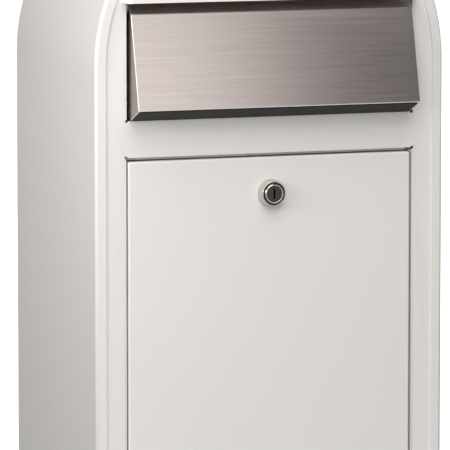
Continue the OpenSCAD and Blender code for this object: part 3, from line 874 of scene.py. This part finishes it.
class DROPBOX_OT_lock(Operator):
    """Finish the cam lock"""

    bl_idname = "drop_box.lock"
    bl_label = "Lock"

    def execute(self, context):
        edge = context.scene.drop_box_sizes.metal_edge
        dress(("lock_collar", "lock_housing"), "lock_chrome", edge)
        dress(["lock_plug"], "plug_metal", edge)
        dress(["lock_gasket"], "rubber", edge)
        dress(("lock_washer", "lock_nut", "plug_spacer", "cam_screw"), "fastener", edge)
        dress(["lock_cam"], "zinc_sheet", edge)
        return {"FINISHED"}


class DROPBOX_OT_inside(Operator):
    """Finish the letter guard, lock keeper, wall rails and their fasteners"""

    bl_idname = "drop_box.inside"
    bl_label = "Inside"

    def execute(self, context):
        edge = context.scene.drop_box_sizes.metal_edge
        dress(("letter_guard", "lock_keeper", "wall_rails"), "zinc_sheet", edge)
        dress(("weld_studs", "stud_nuts", "keeper_screws", "keeper_nuts"), "fastener", edge)
        return {"FINISHED"}


class DROPBOX_OT_stage(Operator):
    """Add the floor, the soft boxes, the room light and the camera"""

    bl_idname = "drop_box.stage"
    bl_label = "Studio"

    def execute(self, context):
        studio = context.scene.drop_box_studio
        self.add_floor(context)
        aim = Vector((studio.aim_x, FACE_Y, studio.aim_z))
        self.add_camera(context, studio, aim)
        self.add_soft_box("front_light", *FRONT_LIGHT, studio.front_power)
        self.add_soft_box("key_light", *KEY_LIGHT, studio.key_power)
        self.add_overhead(studio)
        self.light_room(context, studio)
        context.scene.view_settings.view_transform = "Standard"
        return {"FINISHED"}

    def add_floor(self, context):
        """A wide round floor."""
        bm = bmesh.new()
        bmesh.ops.create_circle(bm, cap_ends=True, segments=96, radius=FLOOR_RADIUS)
        floor = bpy.data.objects.new("studio_floor", to_mesh("studio_floor", bm))
        context.scene.collection.objects.link(floor)
        studio = context.scene.drop_box_studio
        colour = context.scene.drop_box_colours.floor
        floor.data.materials.append(studio_floor(colour, studio.floor_bounce, studio.floor_lift))

    def add_camera(self, context, studio, aim):
        """A long lens that looks at the aim point from the left and a little above."""
        data = bpy.data.cameras.new("camera")
        data.lens = studio.focal_length
        data.sensor_width = 36
        data.clip_end = 100
        camera = bpy.data.objects.new("camera", data)
        context.scene.collection.objects.link(camera)
        camera.rotation_euler = (math.pi / 2 - studio.tilt, 0, -studio.turn)
        camera.location = aim + camera.rotation_euler.to_matrix() @ Vector((0, 0, studio.distance))
        context.scene.camera = camera

    def add_soft_box(self, name, place, aim, size, power):
        """A rectangular area light that looks at a point."""
        data = bpy.data.lights.new(name, "AREA")
        data.shape = "RECTANGLE"
        data.size, data.size_y = size
        data.energy = power
        lamp = bpy.data.objects.new(name, data)
        bpy.context.scene.collection.objects.link(lamp)
        lamp.location = place
        lamp.rotation_euler = (Vector(aim) - Vector(place)).to_track_quat("-Z", "Y").to_euler()
        lamp.visible_camera = False

    def add_overhead(self, studio):
        """A wide soft light from high in front, a little to the left."""
        data = bpy.data.lights.new("overhead_light", "SUN")
        data.energy = studio.sky_strength
        data.angle = OVERHEAD_SPREAD
        lamp = bpy.data.objects.new("overhead_light", data)
        bpy.context.scene.collection.objects.link(lamp)
        lamp.rotation_euler = OVERHEAD_TURN

    def light_room(self, context, studio):
        """Even light from the room, brighter above and to the left, and plain white behind the object."""
        world = bpy.data.worlds.new("room")
        world.use_nodes = True
        context.scene.world = world
        work = NodeWork(world.node_tree)
        across, _, up = work.axes(work.node("ShaderNodeTexCoord", output=0))
        level = studio.room * (1.0 + 0.35 * up - 0.45 * across)
        room = work.node("ShaderNodeBackground", None, {"Color": (1.0, 0.985, 0.965, 1), "Strength": level})
        backdrop = work.node("ShaderNodeBackground", None, {"Color": (1, 1, 1, 1), "Strength": 1.0})
        seen = work.node("ShaderNodeLightPath", output=0)
        sky = work.node("ShaderNodeMixShader", None, {0: seen, 1: room, 2: backdrop})
        work.fill(world.node_tree.nodes["World Output"], {"Surface": sky})


class DROPBOX_PT_sidebar(Panel):
    """Sizes, colours, studio and the building steps"""

    bl_idname = "DROPBOX_PT_sidebar"
    bl_label = "Parcel drop box"
    bl_space_type = "VIEW_3D"
    bl_region_type = "UI"
    bl_category = "Drop Box"

    def draw(self, context):
        layout = self.layout
        for group in (context.scene.drop_box_sizes, context.scene.drop_box_colours,
                      context.scene.drop_box_studio):
            box = layout.box()
            for name in group.bl_rna.properties.keys():
                if name not in ("rna_type", "name"):
                    box.prop(group, name)
        for step in STEPS:
            layout.operator(step.bl_idname)


# ---------------------------------------------------------------- registration

GROUPS = (DropBoxSizes, DropBoxColours, DropBoxStudio)
STEPS = (
    DROPBOX_OT_finishes, DROPBOX_OT_cabinet, DROPBOX_OT_hood, DROPBOX_OT_flap, DROPBOX_OT_flap_hinge,
    DROPBOX_OT_door, DROPBOX_OT_lock, DROPBOX_OT_inside, DROPBOX_OT_stage,
)


def register():
    """Registers the classes, and hangs the three groups of settings on the scene."""
    for cls in (*GROUPS, *STEPS, DROPBOX_PT_sidebar):
        bpy.utils.register_class(cls)
    bpy.types.Scene.drop_box_sizes = PointerProperty(type=DropBoxSizes)
    bpy.types.Scene.drop_box_colours = PointerProperty(type=DropBoxColours)
    bpy.types.Scene.drop_box_studio = PointerProperty(type=DropBoxStudio)


def unregister():
    """Undoes what register does."""
    del bpy.types.Scene.drop_box_studio
    del bpy.types.Scene.drop_box_colours
    del bpy.types.Scene.drop_box_sizes
    for cls in reversed((*GROUPS, *STEPS, DROPBOX_PT_sidebar)):
        bpy.utils.unregister_class(cls)


def main():
    """Builds the whole model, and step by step."""
    register()
    for step in STEPS:
        category, name = step.bl_idname.split(".")
        getattr(getattr(bpy.ops, category), name)()


if __name__ == "__main__":
    main()
